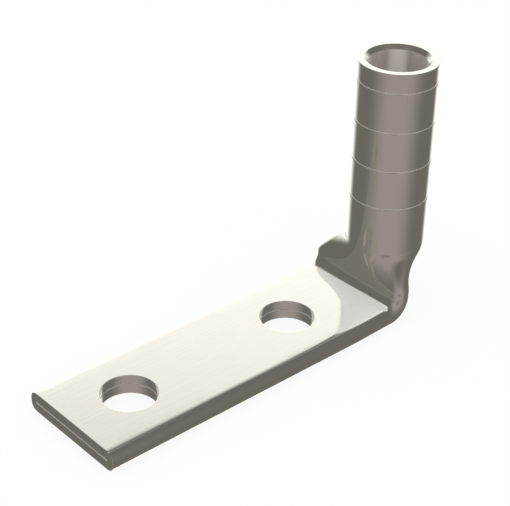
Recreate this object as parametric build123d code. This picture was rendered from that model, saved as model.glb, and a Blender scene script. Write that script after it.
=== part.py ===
from build123d import *
import math
import os

os.makedirs("parts", exist_ok=True)

# A tin-plated copper cable lug made from one length of tube. The tube stays round as the barrel
# that takes the cable, is pressed flat as the tongue that takes two studs, and is bent square
# where the two meet.
# Millimetres. The origin is midway between the two stud holes, on the contact face under the
# tongue. +X runs along the tongue from its tip to the barrel, and +Z up the barrel.

# Tongue
hole_pitch = 25.4
stud_hole_diameter = 7.1
tip_margin = 8.5
heel_margin = 12.25
tongue_width = 16.1
tongue_thickness = 2.66

# Square bend, and the flat neck that stands above it
inner_bend_radius = 0.88
neck_height = 4.06

# Barrel
barrel_diameter = 10.5
barrel_foot_height = 8.4
mouth_height = 33.84
bore_diameter = 7.5
mouth_chamfer = 0.56

# Rolled rings that mark where the crimps go
ring_count = 4
ring_pitch = 5.42
first_ring_drop = 2.56
ring_width = 0.2
ring_depth = 0.07

# How the flat neck spreads into the round barrel. An ease is the share of the height over which
# the wall turns out of the neck, then the share over which it turns into the barrel. The bulge
# says how far the long sides arch: none in the neck, then growing as the square of the height.
# The limit keeps the short sides round where the tube is still shallow.
side_ease = (0.25, 0.12)
back_ease = (0.77, 0.21)
full_bulge = 0.84
bulge_limit = 0.7
spread_steps = 12

# The bore is pressed shut below the barrel: a slit is left in the neck, and a fine seam shows
# on the tip and in the wall of each stud hole.
slit_gap = 0.3
seam_width = 0.1
seam_depth = 0.12
seam_margin = 1.05

# Places that follow from the sizes above
tip_x = -hole_pitch / 2 - tip_margin
front_x = hole_pitch / 2 + heel_margin
barrel_radius = barrel_diameter / 2
barrel_x = front_x + barrel_radius
bore_radius = bore_diameter / 2
hole_radius = stud_hole_diameter / 2
half_thickness = tongue_thickness / 2
half_width = tongue_width / 2
bend_x = front_x - inner_bend_radius
bend_z = tongue_thickness + inner_bend_radius


def eased(share, ease):
    """Goes from 0 to 1 along a straight line that starts and ends in a parabola."""
    start, end = ease
    slope = 1 / (1 - start / 2 - end / 2)
    if share < start:
        return slope * share**2 / (2 * start)
    if share > 1 - end:
        return 1 - slope * (1 - share) ** 2 / (2 * end)
    return slope * (share - start / 2)


def between(first, last, share):
    return first + (last - first) * share


def oval(across, deep, bulge):
    """A face bounded by four tangent arcs, across and deep being half its sizes along Y and X.
    With no bulge its two long sides are straight, as on a flattened tube."""
    turn = math.pi / 2 - 2 * math.atan(bulge)
    end_radius = (deep - across * bulge) / (1 - bulge)
    corner_x = end_radius * math.sin(turn)
    corner_y = across - end_radius * (1 - math.cos(turn))
    front_left = (-corner_x, corner_y)
    front_right = (-corner_x, -corner_y)
    back_left = (corner_x, corner_y)
    back_right = (corner_x, -corner_y)
    left = ThreePointArc(front_left, (0, across), back_left)
    right = ThreePointArc(back_right, (0, -across), front_right)
    if bulge == 0:
        back = Line(back_left, back_right)
        front = Line(front_right, front_left)
    else:
        back = ThreePointArc(back_left, (deep, 0), back_right)
        front = ThreePointArc(front_right, (-deep, 0), front_left)
    return make_face([left, back, right, front])


def tube_section(share, neck_inset=0, barrel_inset=0):
    """The tube's outline at a share of the way up from the neck to the barrel's foot. The insets
    draw it in from the outside to the bore."""
    side = eased(share, side_ease)
    back = eased(share, back_ease)
    inset = between(neck_inset, barrel_inset, share)
    deep = between(half_thickness, barrel_radius, back)
    across = between(half_width, barrel_radius, side) - inset
    bulge = min(full_bulge * share**2, bulge_limit * (deep - inset) / across)
    height = between(neck_height, barrel_foot_height, share)
    return Location((front_x + deep, 0, height)) * oval(across, deep - inset, bulge)


def flat_section(x):
    """The flattened tube's outline across the tongue, with both edges fully rounded."""
    across = Plane(origin=(x, 0, half_thickness), x_dir=(0, 1, 0), z_dir=(1, 0, 0))
    return across * SlotOverall(tongue_width, tongue_thickness)


def outer_shape():
    """Tongue, bend, neck and barrel, all solid."""
    tongue = extrude(flat_section(tip_x), amount=bend_x - tip_x)
    bend = revolve(flat_section(bend_x), Axis((bend_x, 0, bend_z), (0, -1, 0)), 90)
    bend_end = Location((front_x + half_thickness, 0, bend_z))
    sections = [bend_end * oval(half_width, half_thickness, 0)]
    sections += [tube_section(step / spread_steps) for step in range(spread_steps + 1)]
    barrel_foot = Location((barrel_x, 0, barrel_foot_height))
    barrel = extrude(barrel_foot * Circle(barrel_radius), amount=mouth_height - barrel_foot_height)
    return tongue + bend + loft(sections) + barrel


def bore():
    """The round bore with its chamfered mouth, and the slit that it closes to in the neck."""
    outline = Polyline(
        (0, barrel_foot_height),
        (bore_radius, barrel_foot_height),
        (bore_radius, mouth_height - mouth_chamfer),
        (bore_radius + mouth_chamfer, mouth_height),
        (0, mouth_height),
        close=True,
    )
    straight = revolve(Plane.XZ * make_face(outline), Axis.Z)
    wall = barrel_radius - bore_radius
    closing = [
        tube_section(step / spread_steps, half_thickness - slit_gap / 2, wall)
        for step in range(spread_steps + 1)
    ]
    return Location((barrel_x, 0, 0)) * straight + loft(closing)


def groove(radius, depth, width):
    """A fine V-shaped groove round the Z axis. It is cut into the outside of a cylinder with a
    positive depth, and into the wall of a hole with a negative one."""
    outline = Polyline(
        (radius - depth, 0),
        (radius + depth, width),
        (radius + depth, -width),
        close=True,
    )
    return revolve(Plane.XZ * make_face(outline), Axis.Z)


def crimp_rings():
    """The rolled rings, counted down from the mouth."""
    top = mouth_height - first_ring_drop
    ring = groove(barrel_radius, ring_depth, ring_width)
    return [Location((barrel_x, 0, top - turn * ring_pitch)) * ring for turn in range(ring_count)]


def stud_holes():
    """Both stud holes, each with the seam that it lays open halfway up its wall."""
    drill = extrude(Circle(hole_radius), amount=tongue_thickness)
    seam = Location((0, 0, half_thickness)) * groove(hole_radius, -seam_depth, seam_width)
    hole = drill + seam
    return [Location((end * hole_pitch / 2, 0, 0)) * hole for end in (-1, 1)]


def tip_seam():
    """The shut bore's seam across the tip."""
    outline = Polyline(
        (tip_x + seam_depth, half_thickness),
        (tip_x - seam_depth, half_thickness + seam_width),
        (tip_x - seam_depth, half_thickness - seam_width),
        close=True,
    )
    half_length = half_width - seam_margin
    return extrude(Plane.XZ * make_face(outline), amount=half_length, both=True)


def cable_lug():
    return outer_shape() - bore() - crimp_rings() - stud_holes() - tip_seam()


export_step(cable_lug(), "parts/cable_lug.step")
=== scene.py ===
import math
import bmesh
import bpy
from mathutils import Matrix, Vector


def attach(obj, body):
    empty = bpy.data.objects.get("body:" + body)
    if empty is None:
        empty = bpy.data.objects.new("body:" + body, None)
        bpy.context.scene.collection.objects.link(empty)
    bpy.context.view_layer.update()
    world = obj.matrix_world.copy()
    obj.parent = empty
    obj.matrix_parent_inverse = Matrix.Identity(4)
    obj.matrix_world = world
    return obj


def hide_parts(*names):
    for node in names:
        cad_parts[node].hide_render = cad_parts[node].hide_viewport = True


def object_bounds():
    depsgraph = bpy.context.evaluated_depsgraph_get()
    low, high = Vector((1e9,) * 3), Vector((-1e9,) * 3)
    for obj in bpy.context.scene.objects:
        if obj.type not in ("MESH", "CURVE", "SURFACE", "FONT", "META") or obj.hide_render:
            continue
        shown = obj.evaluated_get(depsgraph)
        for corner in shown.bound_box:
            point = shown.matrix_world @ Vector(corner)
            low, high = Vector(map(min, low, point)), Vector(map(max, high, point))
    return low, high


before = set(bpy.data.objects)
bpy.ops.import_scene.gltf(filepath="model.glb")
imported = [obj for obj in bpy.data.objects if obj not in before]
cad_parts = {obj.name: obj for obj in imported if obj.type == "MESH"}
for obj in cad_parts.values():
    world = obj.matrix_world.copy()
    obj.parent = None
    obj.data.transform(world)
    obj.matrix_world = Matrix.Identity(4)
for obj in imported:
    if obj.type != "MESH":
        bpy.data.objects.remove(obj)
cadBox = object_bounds()
print("frame loaded")


# Camera, where the photograph was taken from: angles in degrees, lengths in metres
view = {
    "target": (0.006905, 0, 0.014478),
    "distance": 0.18065,
    "azimuth": -42.242,
    "elevation": 31.612,
    "roll": 1.421,
    "focalLength": 104.54,
    "sensorWidth": 36,
    "nearest": 0.001,
}


def addCamera():
    turn = Matrix.Rotation(math.radians(view["azimuth"]), 4, "Z")
    tilt = Matrix.Rotation(math.radians(90 - view["elevation"]), 4, "X")
    roll = Matrix.Rotation(math.radians(view["roll"]), 4, "Z")
    back = Matrix.Translation((0, 0, view["distance"]))
    camera = bpy.data.objects.new("camera", bpy.data.cameras.new("camera"))
    camera.matrix_world = Matrix.Translation(view["target"]) @ turn @ tilt @ roll @ back
    camera.data.sensor_fit = "HORIZONTAL"
    camera.data.sensor_width = view["sensorWidth"]
    camera.data.lens = view["focalLength"]
    camera.data.clip_start = view["nearest"]
    bpy.context.scene.collection.objects.link(camera)
    bpy.context.scene.camera = camera
    print("camera placed")


# Node helpers: a value is either a number or another node's output
def setInput(tree, socket, value):
    if isinstance(value, bpy.types.NodeSocket):
        tree.links.new(value, socket)
    else:
        socket.default_value = value


def mathNode(tree, operation, *values):
    node = tree.nodes.new("ShaderNodeMath")
    node.operation = operation
    for socket, value in zip(node.inputs, values):
        setInput(tree, socket, value)
    return node.outputs[0]


def vectorNode(tree, operation, *values):
    node = tree.nodes.new("ShaderNodeVectorMath")
    node.operation = operation
    for socket, value in zip(node.inputs, values):
        setInput(tree, socket, value)
    return node.outputs[0]


def lengthNode(tree, value):
    node = tree.nodes.new("ShaderNodeVectorMath")
    node.operation = "LENGTH"
    setInput(tree, node.inputs[0], value)
    return node.outputs["Value"]


def smoothStep(tree, value, low, high, start=0.0, end=1.0):
    node = tree.nodes.new("ShaderNodeMapRange")
    node.interpolation_type = "SMOOTHSTEP"
    names = ("Value", "From Min", "From Max", "To Min", "To Max")
    for name, setting in zip(names, (value, low, high, start, end)):
        setInput(tree, node.inputs[name], setting)
    return node.outputs["Result"]


def blend(tree, share, first, last):
    node = tree.nodes.new("ShaderNodeMix")
    node.data_type = "RGBA"
    setInput(tree, node.inputs["Factor"], share)
    colours = [socket for socket in node.inputs if socket.type == "RGBA"]
    setInput(tree, colours[0], first)
    setInput(tree, colours[1], last)
    return [socket for socket in node.outputs if socket.type == "RGBA"][0]


# The lug's skin, in millimetres: rings of points that run from the tip along the tongue, up
# through the bend and the flare, over the mouth and down the bore to the slit that it ends in.
skin = {
    "holePitch": 25.4, "holeRadius": 3.55, "tipX": -21.2, "frontX": 24.95,
    "width": 16.1, "thickness": 2.66, "bendRadius": 0.88, "innerFillet": 1.2,
    "neckHeight": 4.06, "footHeight": 8.4, "mouthHeight": 33.84,
    "barrelRadius": 5.25, "boreRadius": 3.75, "chamfer": 0.56,
    "sideEase": (0.25, 0.12), "backEase": (0.77, 0.21), "fullBulge": 0.84, "bulgeLimit": 0.7,
    "edgePower": 2.6, "edgeFade": (16.5, 24.0),
    "slitGap": 0.3, "seamWidth": 0.1, "seamDepth": 0.12, "seamMargin": 1.05, "seamEndRadius": 0.13,
    "seamTaper": 0.02, "seamBlend": (0.03, 0.07), "seamOpening": 4,
    "edgeRound": 0.03, "rimRound": 0.1, "hold": 0.1, "flatSag": 0.000001,
    "ridgeCut": 0.125, "besideWear": 0.5,
    # How finely each stretch is divided
    "flatSteps": 32, "edgeSteps": 24, "roundSteps": 4, "tongueSteps": (6, 4), "bendSteps": 24,
    "neckSteps": 3, "spreadSteps": 64, "barrelSteps": 24, "mouthSteps": 2, "boreSteps": 20,
    "closingSteps": 40, "tipInsets": (0.9, 0.5, 0.2), "chamferShares": (0.3, 0.7),
    "holeSpans": (0.3, 0.6, 0.85),
}
halfThick = skin["thickness"] / 2
halfWide = skin["width"] / 2
halfFlat = halfWide - halfThick
barrelX = skin["frontX"] + skin["barrelRadius"]
bendX = skin["frontX"] - skin["bendRadius"]
bendZ = skin["thickness"] + skin["bendRadius"]


def between(first, last, share):
    return first + (last - first) * share


def eased(share, ease):
    start, end = ease
    slope = 1 / (1 - start / 2 - end / 2)
    if share < start:
        return slope * share**2 / (2 * start)
    if share > 1 - end:
        return 1 - slope * (1 - share) ** 2 / (2 * end)
    return slope * (share - start / 2)


# Shares across a flat side, set so that lines from a hole's centre reach them at even angles
def flatShares():
    steps = skin["flatSteps"]
    even = [(1 + math.tan(math.radians(90 * step / steps - 45))) / 2 for step in range(steps + 1)]
    hold = skin["hold"] / (2 * halfFlat)
    return [0, hold] + even[1:-1] + [1 - hold, 1]


shares = flatShares()
flatCount = len(shares)
edgeTurns = [2 * step / skin["edgeSteps"] - 1 for step in range(1, skin["edgeSteps"])]
backStart = flatCount + len(edgeTurns)
ringSize = 2 * backStart


# A ring's points as (depth behind the front, y): the front from +y to -y, the edge at -y, the
# back, and the edge at +y. An edge is round at a power of 2, and squarer above it.
def oval(across, deep, bulge=0.0, power=2.0):
    turn = math.pi / 2 - 2 * math.atan(bulge)
    endRadius = (deep - across * bulge) / (1 - bulge)
    cornerY = across - endRadius * (1 - math.cos(turn))
    sag = deep - endRadius * math.sin(turn)
    half = []
    for share in shares:
        if sag < skin["flatSag"]:
            half.append((-deep, cornerY * (1 - 2 * share)))
        else:
            radius = (cornerY**2 + sag**2) / (2 * sag)
            angle = math.atan2(cornerY, radius - sag) * (1 - 2 * share)
            half.append((radius - deep - radius * math.cos(angle), radius * math.sin(angle)))
    for part in edgeTurns:
        depth = math.copysign(abs(math.sin(turn * part)) ** (2 / power), part)
        reach = math.cos(turn * part) ** (2 / power)
        half.append((endRadius * depth, endRadius - across - endRadius * reach))
    return [(deep + x, y) for x, y in half] + [(deep - x, -y) for x, y in half]


# The seam's outline on the tip: a fine slit that opens a little at each end, over a length of
# seamOpening end radii
def seamOval(across, deep, endRadius):
    ring = oval(across, endRadius)
    opening = skin["seamOpening"] * endRadius
    points = []
    for depth, y in ring:
        closing = min(max((across - endRadius - abs(y)) / opening, 0), 1)
        points.append((deep + (depth - endRadius) * between(1, deep / endRadius, closing), y))
    return points


def flareRing(share, neckInset=0.0, barrelInset=0.0):
    inset = between(neckInset, barrelInset, share)
    deep = between(halfThick, skin["barrelRadius"], eased(share, skin["backEase"])) - inset
    across = between(halfWide, skin["barrelRadius"], eased(share, skin["sideEase"])) - inset
    bulge = min(skin["fullBulge"] * share**2, skin["bulgeLimit"] * deep / across)
    height = between(skin["neckHeight"], skin["footHeight"], share)
    return [(skin["frontX"] + inset + depth, y, height) for depth, y in oval(across, deep, bulge)]


# The tongue's long edges are squarer than half circles, and become half circles at the bend
def tongueRing(x, inset=0.0, ring=None):
    start, end = skin["edgeFade"]
    fade = min(max((x - start) / (end - start), 0), 1)
    power = between(skin["edgePower"], 2, fade * fade * (3 - 2 * fade))
    ring = ring or oval(halfWide - inset, halfThick - inset, power=power)
    return [(x, y, skin["thickness"] - inset - depth) for depth, y in ring]


# The bend's inside is a little rounder than its outside calls for, as the metal gathers there
def bendRing(angle):
    fillet = skin["innerFillet"]
    outside = skin["bendRadius"] + skin["thickness"]
    across, up = math.sin(angle), math.cos(angle)
    inner = (skin["frontX"] - fillet + fillet * across, skin["thickness"] + fillet - fillet * up)
    outer = (bendX + outside * across, bendZ - outside * up)
    ring = []
    for depth, y in oval(halfWide, halfThick):
        share = depth / skin["thickness"]
        ring.append((between(inner[0], outer[0], share), y, between(inner[1], outer[1], share)))
    return ring


def barrelRing(height, radius):
    front = barrelX - radius
    return [(front + depth, y, height) for depth, y in oval(radius, radius, skin["bulgeLimit"])]


def evenly(first, last, steps):
    return [between(first, last, step / steps) for step in range(steps + 1)]


# A rounded edge's steps as (distance in from one side, distance in from the other)
def roundSteps(size):
    turns = evenly(0, math.pi / 2, skin["roundSteps"])
    return [(size * (1 - math.cos(turn)), size * (1 - math.sin(turn))) for turn in turns]


# The rolled rings that mark where the crimps go, in millimetres
crimpRings = {
    "firstHeight": 31.28, "pitch": 5.42, "count": 4, "halfWidth": 0.1, "depth": 0.07,
    "outsideFrom": 0.95, "clearOf": 4, "ringSteps": (-2, -1, 0, 1, 2),
}


# The rings in order, each with how worn it is and how far it lies in a seam
def skinRings():
    rings = []

    def add(points, worn=0.0, scored=0.0):
        rings.append((points, worn, scored))

    tipX = skin["tipX"]
    edge = skin["edgeRound"]
    hold = skin["hold"]
    seam = halfWide - skin["seamMargin"]
    slit = skin["seamWidth"] / 2
    end = skin["seamEndRadius"]
    near, far = skin["seamBlend"]
    seamRings = ((skin["seamTaper"], skin["seamDepth"], 1), (0, 0, 1), (-near, 0, 1), (-far, 0, 0))
    for inset, depth, scored in seamRings:
        ring = seamOval(seam - inset, slit - inset, end - inset)
        add(tongueRing(tipX + depth, halfThick - slit + inset, ring), 0, scored)
    for inset in (*skin["tipInsets"], edge + hold):
        add(tongueRing(tipX, inset))
    for back, inset in roundSteps(edge):
        add(tongueRing(tipX + back, inset), 1)
    add(tongueRing(tipX + edge + hold))

    blocks = []
    for side in (-1, 1):
        centre = side * skin["holePitch"] / 2
        blocks.append((len(rings), centre))
        for share in shares:
            add(tongueRing(centre + halfFlat * (2 * share - 1)))
        if side < 0:
            for x in evenly(centre + halfFlat, -centre - halfFlat, skin["tongueSteps"][0])[1:-1]:
                add(tongueRing(x))
    beforeBend = skin["frontX"] - skin["innerFillet"] - hold
    for x in evenly(skin["holePitch"] / 2 + halfFlat, beforeBend, skin["tongueSteps"][1])[1:]:
        add(tongueRing(x))
    for angle in evenly(0, math.pi / 2, skin["bendSteps"]):
        add(bendRing(angle))
    afterBend = skin["thickness"] + skin["innerFillet"]
    for height in evenly(afterBend, skin["neckHeight"], skin["neckSteps"])[1:-1]:
        add([(skin["frontX"] + depth, y, height) for depth, y in oval(halfWide, halfThick)])
    for share in evenly(0, 1, skin["spreadSteps"]):
        add(flareRing(share))

    outer = skin["barrelRadius"]
    inner = skin["boreRadius"]
    mouth = skin["mouthHeight"]
    rim = skin["rimRound"]
    reach = crimpRings["halfWidth"]
    heights = evenly(skin["footHeight"], mouth - rim - hold, skin["barrelSteps"])[1:]
    for turn in range(crimpRings["count"]):
        centre = crimpRings["firstHeight"] - turn * crimpRings["pitch"]
        clear = crimpRings["clearOf"] * reach
        heights = [height for height in heights if abs(height - centre) > clear]
        heights += [centre + offset * reach for offset in crimpRings["ringSteps"]]
    for height in sorted(heights):
        add(barrelRing(height, outer))
    for inRadius, inHeight in roundSteps(rim):
        add(barrelRing(mouth - inHeight, outer - inRadius), 1)
    flat = inner + skin["chamfer"]
    for radius in evenly(outer - rim - hold, flat + edge + hold, skin["mouthSteps"]):
        add(barrelRing(mouth, radius))
    half = edge / math.sqrt(2)
    cut = edge * skin["ridgeCut"]
    beside = skin["besideWear"]
    add(barrelRing(mouth, flat + edge), beside)
    add(barrelRing(mouth - cut, flat), 1)
    add(barrelRing(mouth - half, flat - half), beside)
    for share in skin["chamferShares"]:
        add(barrelRing(mouth - share * skin["chamfer"], flat - share * skin["chamfer"]))
    foot = mouth - skin["chamfer"]
    add(barrelRing(foot + half, inner + half), beside)
    add(barrelRing(foot, inner + cut), 1)
    add(barrelRing(foot - edge, inner), beside)
    for height in evenly(foot - edge - hold, skin["footHeight"], skin["boreSteps"]):
        add(barrelRing(height, inner))
    wall = outer - inner
    for share in evenly(1, 0, skin["closingSteps"])[1:]:
        add(flareRing(share, halfThick - skin["slitGap"] / 2, wall))
    return rings, blocks


# A stud hole's loops as (distance out from its wall, height, how worn, how far in the seam)
def holeLoops():
    edge = skin["edgeRound"]
    hold = skin["hold"]
    top = skin["thickness"]
    slit = halfThick + skin["seamWidth"] / 2
    loops = [(edge + hold, top, 0, 0)]
    loops += [(out, top - down, 1, 0) for down, out in roundSteps(edge)]
    near, far = skin["seamBlend"]
    loops += [(0, top - edge - hold, 0, 0), (0, slit + far, 0, 0)]
    loops += [(0, slit + near, 0, 1), (0, slit, 0, 1)]
    lower = [(out, top - height, worn, scored) for out, height, worn, scored in reversed(loops)]
    return loops + [(skin["seamDepth"], halfThick, 0, 1)] + lower


# Where a point of the tongue was round the tube before it was pressed flat
tubeRadius = halfThick + 2 * halfFlat / math.pi


def roundTube(index):
    half = index % backStart
    across = 2 * halfFlat * shares[min(half, flatCount - 1)]
    across += math.pi * halfThick * max(half - flatCount + 1, 0) / skin["edgeSteps"]
    return across / tubeRadius + (math.pi if index >= backStart else 0)


def skinMesh():
    rings, blocks = skinRings()
    points, drawn, worn, scored, bored, faces = [], [], [], [], [], []

    def addPoint(place, turn, radius, along, wear, seam, wall=0):
        points.append([value / 1000 for value in place])
        drawn.append((radius * math.cos(turn), radius * math.sin(turn), along))
        worn.append(wear)
        scored.append(seam)
        bored.append(wall)
        return len(points) - 1

    along = 0
    middle = None
    for ring, wear, seam in rings:
        before = middle
        middle = [sum(values) / len(ring) for values in zip(*ring)]
        along += math.dist(before, middle) if before else 0
        for index, place in enumerate(ring):
            addPoint(place, roundTube(index), tubeRadius, along, wear, seam)

    def vertex(ring, index):
        return ring * ringSize + index % ringSize

    flats = set(range(flatCount - 1)) | set(range(backStart, backStart + flatCount - 1))
    holed = {start + step for start, centre in blocks for step in range(flatCount - 1)}
    for ring in range(len(rings) - 1):
        for index in range(ringSize):
            if ring in holed and index in flats:
                continue
            side = (vertex(ring, index), vertex(ring, index + 1))
            faces.append((*side, vertex(ring + 1, index + 1), vertex(ring + 1, index)))

    # Both ends are closed by joining the front to the back
    for ring in (0, len(rings) - 1):
        for index in range(flatCount - 1):
            other = backStart + flatCount - 1 - index
            front = (vertex(ring, index), vertex(ring, index + 1))
            faces.append((*front, vertex(ring, other - 1), vertex(ring, other)))
        for first in (flatCount - 1, backStart + flatCount - 1):
            for step in range(skin["edgeSteps"] // 2):
                last = first + skin["edgeSteps"] - step
                corners = [first + step, first + step + 1, last - 1, last]
                if corners[1] == corners[2]:
                    corners.pop(1)
                faces.append([vertex(ring, corner) for corner in corners])

    # Each stud hole runs from a square on the tongue's top to the same square underneath
    last = flatCount - 1
    for start, centre in blocks:
        square = [(0, step) for step in range(last)] + [(step, last) for step in range(last)]
        square += [(last, last - step) for step in range(last)]
        square += [(last - step, 0) for step in range(last)]
        loops = [[vertex(start + ring, index) for ring, index in square]]
        bottom = [vertex(start + ring, backStart + last - index) for ring, index in square]
        spans = [between(1, 0, share) for share in skin["holeSpans"]]
        holeWall = holeLoops()
        stations = [(span, *holeWall[0]) for span in spans] + [(0, *loop) for loop in holeWall]
        stations += [(span, *holeWall[-1]) for span in reversed(spans)]
        for span, out, height, wear, seam in stations:
            loop = []
            for corner in loops[0]:
                x, y = points[corner][0] * 1000 - centre, points[corner][1] * 1000
                turn = math.atan2(y, x)
                radius = between(skin["holeRadius"] + out, math.hypot(x, y), span)
                place = (centre + radius * math.cos(turn), radius * math.sin(turn), height)
                flat = (halfFlat - place[1]) / tubeRadius
                depth = min(height, skin["thickness"] - height)
                under = 2 * math.pi - halfThick * math.pi / tubeRadius - flat
                side = flat if height > halfThick else under
                along = place[0] - skin["tipX"]
                inWall = 1 if depth else 0
                loop.append(addPoint(place, side, tubeRadius - depth, along, wear, seam, inWall))
            loops.append(loop)
        loops.append(bottom)
        for upper, lower in zip(loops, loops[1:]):
            for step in range(len(upper)):
                after = (step + 1) % len(upper)
                faces.append((upper[step], upper[after], lower[after], lower[step]))

    mesh = bpy.data.meshes.new("lug_skin")
    mesh.from_pydata(points, [], faces)
    for name, values in (("worn", worn), ("scored", scored), ("bored", bored)):
        mesh.attributes.new(name, "FLOAT", "POINT").data.foreach_set("value", values)
    parts = [part for value in drawn for part in value]
    mesh.attributes.new("drawn", "FLOAT_VECTOR", "POINT").data.foreach_set("vector", parts)
    form = bmesh.new()
    form.from_mesh(mesh)
    unused = [point for point in form.verts if not point.link_faces]
    bmesh.ops.delete(form, geom=unused, context="VERTS")
    bmesh.ops.recalc_face_normals(form, faces=form.faces)
    form.to_mesh(mesh)
    form.free()
    return mesh


# Geometry Nodes that roll the crimp rings into the barrel
def crimpTree(material):
    tree = bpy.data.node_groups.new("crimp rings", "GeometryNodeTree")
    tree.interface.new_socket("Geometry", in_out="INPUT", socket_type="NodeSocketGeometry")
    settings = {
        "First Height": crimpRings["firstHeight"] / 1000,
        "Pitch": crimpRings["pitch"] / 1000,
        "Count": crimpRings["count"],
        "Half Width": crimpRings["halfWidth"] / 1000,
        "Depth": crimpRings["depth"] / 1000,
        "Axis X": barrelX / 1000,
        "Barrel Radius": skin["barrelRadius"] / 1000,
        "Outside From": crimpRings["outsideFrom"],
        "Material": material,
    }
    keys = {}
    for name in settings:
        kind = "NodeSocketMaterial" if name == "Material" else "NodeSocketFloat"
        keys[name] = tree.interface.new_socket(name, in_out="INPUT", socket_type=kind).identifier
    tree.interface.new_socket("Geometry", in_out="OUTPUT", socket_type="NodeSocketGeometry")
    given = tree.nodes.new("NodeGroupInput").outputs
    out = tree.nodes.new("NodeGroupOutput").inputs
    place = tree.nodes.new("ShaderNodeSeparateXYZ")
    tree.links.new(tree.nodes.new("GeometryNodeInputPosition").outputs[0], place.inputs[0])
    height = place.outputs["Z"]
    below = mathNode(tree, "SUBTRACT", given["First Height"], height)
    turn = mathNode(tree, "DIVIDE", below, given["Pitch"])
    turn = mathNode(tree, "MAXIMUM", mathNode(tree, "ROUND", turn), 0.0)
    turn = mathNode(tree, "MINIMUM", turn, mathNode(tree, "SUBTRACT", given["Count"], 1.0))
    drop = mathNode(tree, "MULTIPLY", turn, given["Pitch"])
    centre = mathNode(tree, "SUBTRACT", given["First Height"], drop)
    away = mathNode(tree, "ABSOLUTE", mathNode(tree, "SUBTRACT", height, centre))
    mask = mathNode(tree, "SUBTRACT", 1.0, mathNode(tree, "DIVIDE", away, given["Half Width"]))
    mask = mathNode(tree, "MAXIMUM", mask, 0.0)
    outward = tree.nodes.new("ShaderNodeCombineXYZ")
    fromAxis = mathNode(tree, "SUBTRACT", place.outputs["X"], given["Axis X"])
    tree.links.new(fromAxis, outward.inputs["X"])
    tree.links.new(place.outputs["Y"], outward.inputs["Y"])
    reach = mathNode(tree, "DIVIDE", lengthNode(tree, outward.outputs[0]), given["Barrel Radius"])
    outside = mathNode(tree, "GREATER_THAN", reach, given["Outside From"])
    mask = mathNode(tree, "MULTIPLY", mask, outside)
    push = tree.nodes.new("ShaderNodeVectorMath")
    push.operation = "SCALE"
    tree.links.new(vectorNode(tree, "NORMALIZE", outward.outputs[0]), push.inputs[0])
    inward = mathNode(tree, "MULTIPLY", mathNode(tree, "MULTIPLY", mask, given["Depth"]), -1.0)
    tree.links.new(inward, push.inputs["Scale"])
    known = tree.nodes.new("GeometryNodeInputNamedAttribute")
    known.data_type = "FLOAT"
    known.inputs["Name"].default_value = "scored"
    store = tree.nodes.new("GeometryNodeStoreNamedAttribute")
    store.data_type = "FLOAT"
    store.domain = "POINT"
    store.inputs["Name"].default_value = "scored"
    tree.links.new(given["Geometry"], store.inputs["Geometry"])
    tree.links.new(mathNode(tree, "MAXIMUM", known.outputs[0], mask), store.inputs["Value"])
    move = tree.nodes.new("GeometryNodeSetPosition")
    tree.links.new(store.outputs[0], move.inputs["Geometry"])
    tree.links.new(push.outputs[0], move.inputs["Offset"])
    realize = tree.nodes.new("GeometryNodeRealizeInstances")
    tree.links.new(move.outputs[0], realize.inputs[0])
    dress = tree.nodes.new("GeometryNodeSetMaterial")
    tree.links.new(realize.outputs[0], dress.inputs["Geometry"])
    tree.links.new(given["Material"], dress.inputs["Material"])
    tree.links.new(dress.outputs[0], out["Geometry"])
    return tree, {keys[name]: value for name, value in settings.items()}


def addLug(material):
    piece = bpy.data.objects.new("lug_skin", skinMesh())
    bpy.context.scene.collection.objects.link(piece)
    rolled = piece.modifiers.new("crimp rings", "NODES")
    rolled.node_group, settings = crimpTree(material)
    for key, value in settings.items():
        rolled[key] = value
    graph = bpy.context.evaluated_depsgraph_get()
    plain = bpy.data.meshes.new_from_object(piece.evaluated_get(graph))
    piece.modifiers.remove(rolled)
    piece.data = plain
    plain.shade_smooth()
    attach(piece, "root")
    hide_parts("cable_lug")
    print("lug made:", len(plain.polygons), "faces")


# Studio: soft panels of light round the lug. Bearing is in degrees from +X towards +Y, and
# height is in degrees above the floor. What is mirrored more than once, past onceDepth, sees a
# brighter room and none of the onceOnly panels.
studio = {
    "ambient": (0.195, 0.187, 0.174),
    "ambientTwice": (0.33, 0.317, 0.31),
    "onceDepth": 2.5,
    "panels": {
        "white sweep behind": {
            "bearing": 47.8, "height": -36, "halfWidth": 40, "halfHeight": 78.3,
            "softWidth": 17, "softHeight": 14.1,
            "light": (1.25, 1.25, 1.22), "onceOnly": True,
        },
        "top of the sweep": {
            "bearing": 47.8, "height": 73, "halfWidth": 22, "halfHeight": 12,
            "softWidth": 16, "softHeight": 6,
            "light": (1.0, 1.0, 0.98), "onceOnly": True,
        },
        "wall behind camera": {
            "bearing": 227.8, "height": -1.5, "halfWidth": 52, "halfHeight": 61.5,
            "softWidth": 35, "softHeight": 13,
            "light": (0.225, 0.184, 0.197), "onceOnly": False,
        },
        "camera's own dark": {
            "bearing": 227.8, "height": -3, "halfWidth": 12, "halfHeight": 12,
            "softWidth": 10, "softHeight": 10,
            "light": (-0.15, -0.13, -0.135), "onceOnly": False,
        },
    },
}


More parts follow.
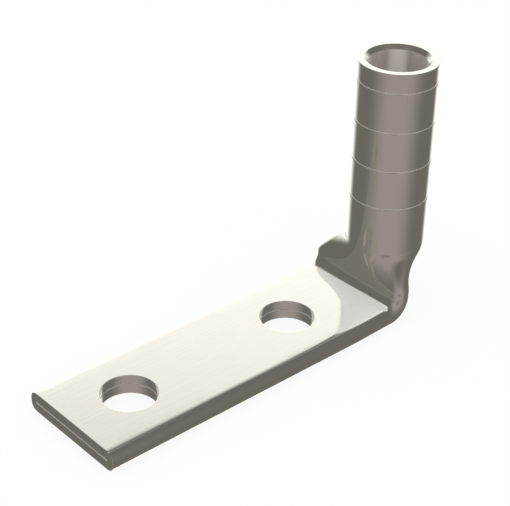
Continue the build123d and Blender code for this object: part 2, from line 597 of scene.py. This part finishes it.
def panelGroup():
    group = bpy.data.node_groups.new("soft panel", "ShaderNodeTree")
    names = (
        "Bearing", "Height", "At Bearing", "At Height", "Half Width", "Half Height", "Soft Width",
        "Soft Height",
    )
    for name in names:
        group.interface.new_socket(name, in_out="INPUT", socket_type="NodeSocketFloat")
    group.interface.new_socket("Mask", in_out="OUTPUT", socket_type="NodeSocketFloat")
    given = group.nodes.new("NodeGroupInput").outputs
    out = group.nodes.new("NodeGroupOutput").inputs
    turn = mathNode(group, "SUBTRACT", given["Bearing"], given["At Bearing"])
    turn = mathNode(group, "WRAP", turn, 180.0, -180.0)
    across = mathNode(group, "ABSOLUTE", turn)
    rise = mathNode(group, "SUBTRACT", given["Height"], given["At Height"])
    along = mathNode(group, "ABSOLUTE", rise)
    masks = []
    for offset, side in ((across, "Width"), (along, "Height")):
        inner = mathNode(group, "SUBTRACT", given["Half " + side], given["Soft " + side])
        outer = mathNode(group, "ADD", given["Half " + side], given["Soft " + side])
        masks.append(smoothStep(group, offset, inner, outer, 1.0, 0.0))
    group.links.new(mathNode(group, "MULTIPLY", *masks), out["Mask"])
    return group


def addStudio():
    world = bpy.data.worlds.new("studio")
    bpy.context.scene.world = world
    world.use_nodes = True
    world.cycles.sampling_method = "NONE"
    tree = world.node_tree
    tree.nodes.clear()
    direction = tree.nodes.new("ShaderNodeTexCoord").outputs["Generated"]
    split = tree.nodes.new("ShaderNodeSeparateXYZ")
    tree.links.new(direction, split.inputs[0])
    turn = mathNode(tree, "ARCTAN2", split.outputs["Y"], split.outputs["X"])
    bearing = mathNode(tree, "DEGREES", turn)
    height = mathNode(tree, "DEGREES", mathNode(tree, "ARCSINE", split.outputs["Z"]))
    group = panelGroup()
    rays = tree.nodes.new("ShaderNodeLightPath")
    once = mathNode(tree, "LESS_THAN", rays.outputs["Ray Depth"], studio["onceDepth"])
    total = blend(tree, once, (*studio["ambientTwice"], 1), (*studio["ambient"], 1))
    for name, panel in studio["panels"].items():
        mask = tree.nodes.new("ShaderNodeGroup")
        mask.node_tree = group
        mask.label = name
        tree.links.new(bearing, mask.inputs["Bearing"])
        tree.links.new(height, mask.inputs["Height"])
        mask.inputs["At Bearing"].default_value = panel["bearing"]
        mask.inputs["At Height"].default_value = panel["height"]
        mask.inputs["Half Width"].default_value = panel["halfWidth"]
        mask.inputs["Half Height"].default_value = panel["halfHeight"]
        mask.inputs["Soft Width"].default_value = panel["softWidth"]
        mask.inputs["Soft Height"].default_value = panel["softHeight"]
        lit = mask.outputs["Mask"]
        if panel["onceOnly"]:
            lit = mathNode(tree, "MULTIPLY", lit, once)
        total = vectorNode(tree, "MULTIPLY_ADD", lit, panel["light"], total)
    metalLight = tree.nodes.new("ShaderNodeBackground")
    tree.links.new(total, metalLight.inputs["Color"])
    white = tree.nodes.new("ShaderNodeBackground")
    white.inputs["Color"].default_value = (1, 1, 1, 1)
    mix = tree.nodes.new("ShaderNodeMixShader")
    tree.links.new(rays.outputs["Is Glossy Ray"], mix.inputs["Fac"])
    tree.links.new(white.outputs[0], mix.inputs[1])
    tree.links.new(metalLight.outputs[0], mix.inputs[2])
    output = tree.nodes.new("ShaderNodeOutputWorld")
    tree.links.new(mix.outputs[0], output.inputs["Surface"])
    print("studio lit")


floor = {"halfSize": 3.0, "drop": 0.00001, "shadowShare": 0.12}


def addFloor():
    half = floor["halfSize"]
    level = cadBox[0][2] - floor["drop"]
    mesh = bpy.data.meshes.new("floor")
    corners = ((-half, -half), (half, -half), (half, half), (-half, half))
    mesh.from_pydata([(x, y, level) for x, y in corners], [], [(0, 1, 2, 3)])
    plane = bpy.data.objects.new("floor", mesh)
    bpy.context.scene.collection.objects.link(plane)
    material = bpy.data.materials.new("pale floor")
    material.use_nodes = True
    tree = material.node_tree
    tree.nodes.clear()
    paint = tree.nodes.new("ShaderNodeBsdfDiffuse")
    paint.inputs["Color"].default_value = (1, 1, 1, 1)
    glow = tree.nodes.new("ShaderNodeEmission")
    mix = tree.nodes.new("ShaderNodeMixShader")
    mix.inputs["Fac"].default_value = floor["shadowShare"]
    tree.links.new(glow.outputs[0], mix.inputs[1])
    tree.links.new(paint.outputs[0], mix.inputs[2])
    output = tree.nodes.new("ShaderNodeOutputMaterial")
    tree.links.new(mix.outputs[0], output.inputs["Surface"])
    mesh.materials.append(material)
    plane.visible_glossy = False
    plane.visible_diffuse = False
    print("floor laid")


# Tin plating over drawn and pressed copper. The streaks' scale is per millimetre and the
# mottle's per metre. boreMargin is in millimetres, and tubeFrom, tubeTop, holeReach and
# bumpDistance are in metres.
tin = {
    "colour": (0.72, 0.712, 0.655), "roughness": 0.07,
    "streakScale": (2.6, 2.6, 0.09), "streakDetail": (4.0, 0.6), "streakColour": 0.026,
    "streakRoughness": 0.05, "streakBump": 0.03, "bumpDistance": 0.0001,
    "mottleScale": 330.0, "mottleDetail": 3.0, "mottleColour": 0.018,
    "wornColour": (0.76, 0.75, 0.70), "wornRoughness": 0.12, "wornPatches": (-0.5, 0.3, 0.2, 1.0),
    "scoredColour": (0.5, 0.475, 0.445), "scoredRoughness": 0.4, "scoredDulled": 0.8,
    "leastRoughness": 0.03,
    # Painted reflection: the mirrored entries give the tube a paler, mostly matt copy of the tin
    # where the lug reflects itself
    "paintedReflectionColour": (0.93, 0.91, 0.95), "mirroredShare": 0.92, "tubeFrom": 0.0242,
    "tubeTop": (0.0125, 0.0155), "boreMargin": 0.1, "paintedBoreReflection": (0.73, 0.67, 0.66),
    # Painted glow, an emission seen only in reflections, on the bore, the lower tube and the stud
    # holes' walls
    "boreFacing": (0.3, 1.0), "paintedBoreGlow": (0.085, 0.34), "paintedTubeGlow": 0.26,
    "paintedHoleGlow": (0.05, 0.36), "holeReach": 0.0075, "holeDepth": 1.5, "paintedGlowColour": (1, 0.97, 1),
}


def attributeNode(tree, name, output):
    node = tree.nodes.new("ShaderNodeAttribute")
    node.attribute_name = name
    return node.outputs[output]


def noiseNode(tree, place, scale, detail, roughness=0.5):
    node = tree.nodes.new("ShaderNodeTexNoise")
    tree.links.new(place, node.inputs["Vector"])
    node.inputs["Scale"].default_value = scale
    node.inputs["Detail"].default_value = detail
    node.inputs["Roughness"].default_value = roughness
    return mathNode(tree, "MULTIPLY_ADD", node.outputs["Fac"], 2.0, -1.0)


def tinnedCopper():
    material = bpy.data.materials.new("tinned copper")
    material.use_nodes = True
    tree = material.node_tree
    shader = tree.nodes["Principled BSDF"]
    drawn = attributeNode(tree, "drawn", "Vector")
    drawn = vectorNode(tree, "MULTIPLY", drawn, tin["streakScale"])
    streak = noiseNode(tree, drawn, 1.0, *tin["streakDetail"])
    place = tree.nodes.new("ShaderNodeTexCoord").outputs["Object"]
    mottle = noiseNode(tree, place, tin["mottleScale"], tin["mottleDetail"])
    patches = smoothStep(tree, mottle, *tin["wornPatches"])
    worn = mathNode(tree, "MULTIPLY", attributeNode(tree, "worn", "Fac"), patches)
    scored = attributeNode(tree, "scored", "Fac")

    # Tin, a little uneven, brighter on worn edges and scored along the rolled rings and seams
    shade = mathNode(tree, "MULTIPLY_ADD", streak, tin["streakColour"], 1.0)
    shade = mathNode(tree, "MULTIPLY_ADD", mottle, tin["mottleColour"], shade)
    colour = vectorNode(tree, "MULTIPLY", tin["colour"], shade)
    colour = blend(tree, worn, colour, (*tin["wornColour"], 1))
    colour = blend(tree, scored, colour, (*tin["scoredColour"], 1))
    roughness = mathNode(tree, "MULTIPLY_ADD", streak, tin["streakRoughness"], tin["roughness"])
    roughness = mathNode(tree, "MULTIPLY_ADD", worn, tin["wornRoughness"], roughness)
    roughness = mathNode(tree, "MULTIPLY_ADD", scored, tin["scoredRoughness"], roughness)
    roughness = mathNode(tree, "MAXIMUM", roughness, tin["leastRoughness"])
    tree.links.new(roughness, shader.inputs["Roughness"])
    bump = tree.nodes.new("ShaderNodeBump")
    bump.inputs["Strength"].default_value = tin["streakBump"]
    bump.inputs["Distance"].default_value = tin["bumpDistance"]
    tree.links.new(streak, bump.inputs["Height"])
    tree.links.new(bump.outputs[0], shader.inputs["Normal"])

    # Painted reflection: where the lug mirrors its own tube, the tube gets a paler, mostly matt
    # copy of the tin, which the white room then lights, as its own studio light is dim. The tube's
    # upper part is left as it is, apart from the mouth.
    split = tree.nodes.new("ShaderNodeSeparateXYZ")
    tree.links.new(place, split.inputs[0])
    onTube = mathNode(tree, "GREATER_THAN", split.outputs["X"], tin["tubeFrom"])
    fromAxis = vectorNode(tree, "SUBTRACT", place, (barrelX / 1000, 0, 0))
    fromAxis = vectorNode(tree, "MULTIPLY", fromAxis, (1, 1, 0))
    away = lengthNode(tree, fromAxis)
    bore = skin["boreRadius"] + tin["boreMargin"]
    inBore = mathNode(tree, "LESS_THAN", away, bore / 1000)
    inMouth = mathNode(tree, "LESS_THAN", away, (bore + skin["chamfer"]) / 1000)
    low = smoothStep(tree, split.outputs["Z"], *tin["tubeTop"], 1.0, 0.0)
    onTube = mathNode(tree, "MAXIMUM", mathNode(tree, "MULTIPLY", onTube, low), inMouth)
    rays = tree.nodes.new("ShaderNodeLightPath")
    mirrored = rays.outputs["Is Glossy Ray"]
    mirroredTube = mathNode(tree, "MULTIPLY", onTube, mirrored)
    dulled = mathNode(tree, "MULTIPLY_ADD", scored, -tin["scoredDulled"], 1.0)
    metal = mathNode(tree, "MULTIPLY_ADD", mirroredTube, -tin["mirroredShare"], dulled)
    tree.links.new(mathNode(tree, "MAXIMUM", metal, 0.0), shader.inputs["Metallic"])
    # Painted reflection colours, seen only in reflections: pale tin on the tube, a darker tin in
    # the bore
    paintedInReflection = blend(tree, inBore, (*tin["paintedReflectionColour"], 1), (*tin["paintedBoreReflection"], 1))
    tree.links.new(blend(tree, mirroredTube, colour, paintedInReflection), shader.inputs["Base Color"])

    # Painted glow, seen only in reflections: the bore's near side glows brightest, a painted
    # reflection of where the wall behind the camera would show in it. The lower tube and the stud
    # holes' walls glow too.
    facing = tree.nodes.new("ShaderNodeVectorMath")
    facing.operation = "DOT_PRODUCT"
    tree.links.new(vectorNode(tree, "NORMALIZE", fromAxis), facing.inputs[0])
    bearing = math.radians(studio["panels"]["wall behind camera"]["bearing"])
    facing.inputs[1].default_value = (math.cos(bearing), math.sin(bearing), 0)
    paintedBoreGlow = smoothStep(tree, facing.outputs["Value"], *tin["boreFacing"], *tin["paintedBoreGlow"])
    glow = mathNode(tree, "MULTIPLY", onTube, tin["paintedTubeGlow"])
    # Painted light: the stud holes' walls glow more when mirrored from close by on the first
    # bounce
    inHole = mathNode(tree, "LESS_THAN", rays.outputs["Ray Length"], tin["holeReach"])
    first = mathNode(tree, "LESS_THAN", rays.outputs["Ray Depth"], tin["holeDepth"])
    inHole = mathNode(tree, "MULTIPLY", inHole, first)
    paintedFarGlow, paintedNearGlow = tin["paintedHoleGlow"]
    paintedHoleGlow = mathNode(tree, "MULTIPLY_ADD", inHole, paintedNearGlow - paintedFarGlow, paintedFarGlow)
    glow = mathNode(tree, "MULTIPLY_ADD", attributeNode(tree, "bored", "Fac"), paintedHoleGlow, glow)
    glow = mathNode(tree, "MULTIPLY_ADD", inBore, mathNode(tree, "SUBTRACT", paintedBoreGlow, glow), glow)
    glow = mathNode(tree, "MULTIPLY", glow, mirrored)
    glow = vectorNode(tree, "MULTIPLY", tin["paintedGlowColour"], glow)
    tree.links.new(glow, shader.inputs["Emission Color"])
    shader.inputs["Emission Strength"].default_value = 1
    material.cycles.emission_sampling = "NONE"
    return material


addCamera()
addStudio()
addFloor()
addLug(tinnedCopper())

bpy.context.scene.view_settings.view_transform = "Standard"
